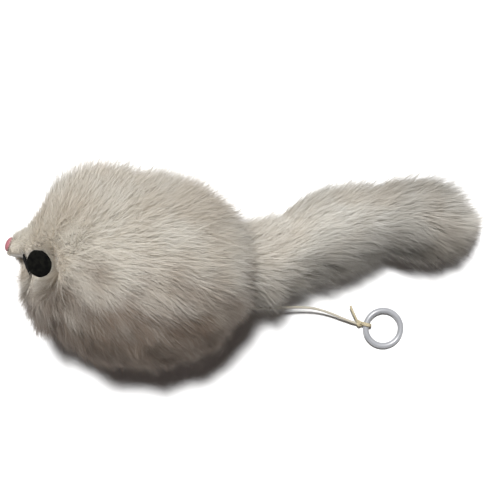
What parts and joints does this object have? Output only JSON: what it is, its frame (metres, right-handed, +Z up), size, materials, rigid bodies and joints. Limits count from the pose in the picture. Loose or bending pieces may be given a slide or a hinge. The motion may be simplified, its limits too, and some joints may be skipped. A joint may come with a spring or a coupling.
{
  "type": "pull-cord mouse",
  "caption": "Furry toy mouse with a fluffy tail: pulling its ring winds a sprung cord drum, whose gear train spins an off-centre weight.",
  "frame": {"origin": "middle of the flat patch that the fur body rests on", "axes": "+X from the nose towards the tail, +Z up from the table, the mouse lying on its side"},
  "size_m": [0.208, 0.092, 0.08],
  "materials": {
    "fur": "long soft white fur",
    "fill": "loose polyester fibre",
    "hide": "soft bare hide",
    "thread": "cotton thread",
    "eye_black": "matt black with a fine crinkle",
    "nose_pink": "satin moulded",
    "case_plastic": "moulded, fine texture",
    "gear_plastic": "moulded nylon",
    "steel": "drawn and polished",
    "brass": "turned",
    "cord": "thin twisted cotton cord",
    "ring_plastic": "moulded pale grey plastic"
  },
  "bodies": {
    "body": {"fur_cover": "fur", "pelt_stitches": "thread", "stuffing": "fill", "nose": "nose_pink", "right_eye": "eye_black", "left_eye": "eye_black", "lower_case": "case_plastic", "upper_case": "case_plastic", "case_screws": "steel", "drum_arbor": "steel", "drum_washer": "steel", "idler_pin": "steel", "idler_spacer": "gear_plastic", "cord_bush": "brass", "inner_cord": "cord", "tail_tape": "hide"},
    "drum": {"cord_drum": "gear_plastic", "drum_lid": "case_plastic", "mainspring": "steel", "cord_winding": "cord"},
    "idler": {"idler_gear": "gear_plastic"},
    "rotor": {"rotor_shaft": "steel", "rotor_pinion": "gear_plastic", "eccentric_weight": "brass"},
    "pull": {"pull_cord": "cord", "cord_knot": "cord", "cord_loose_end": "cord", "pull_ring": "ring_plastic"},
    "tail_root": {"tail_fur_root": "fur", "tail_core": "hide"},
    "tail_tip": {"tail_fur_tip": "fur"}
  },
  "joints": [
    {"name": "drum_turn", "type": "hinge", "parent": "body", "child": "drum", "pos_m": [-0.002, -0.006, 0.034], "axis": [0, 0, 1], "range_deg": [0, 1800], "stiffness_Nm_per_rad": 0.0015, "springref_deg": -572.96, "deforming": ["mainspring"]},
    {"name": "idler_turn", "type": "hinge", "parent": "body", "child": "idler", "pos_m": [0.00949, 0.00364, 0.034], "axis": [0, 0, 1], "range_deg": [-7200, 0]},
    {"name": "rotor_turn", "type": "hinge", "parent": "body", "child": "rotor", "pos_m": [-0.00421, 0.00809, 0.034], "axis": [0, 0, 1], "range_deg": [0, 21600]},
    {"name": "ring_pull", "type": "slide", "parent": "body", "child": "pull", "axis": [1, 0, 0], "range_m": [0, 0.2514], "deforming": ["pull_cord"]},
    {"name": "tail_swing", "type": "hinge", "parent": "body", "child": "tail_root", "pos_m": [0.055, 0.0115, 0.017], "axis": [0, 0, 1], "range_deg": [-10, 40], "deforming": ["tail_tape"]},
    {"name": "tail_bend", "type": "hinge", "parent": "tail_root", "child": "tail_tip", "pos_m": [0.0917, 0.02133, 0.017], "axis": [0, 0, 1], "range_deg": [-8, 35], "deforming": ["tail_core"]}
  ],
  "couplings": [
    {"joint": "idler_turn", "follows": "drum_turn", "ratio": -4},
    {"joint": "rotor_turn", "follows": "drum_turn", "ratio": 12},
    {"joint": "ring_pull", "follows": "drum_turn", "m_per_rad": 0.008}
  ]
}
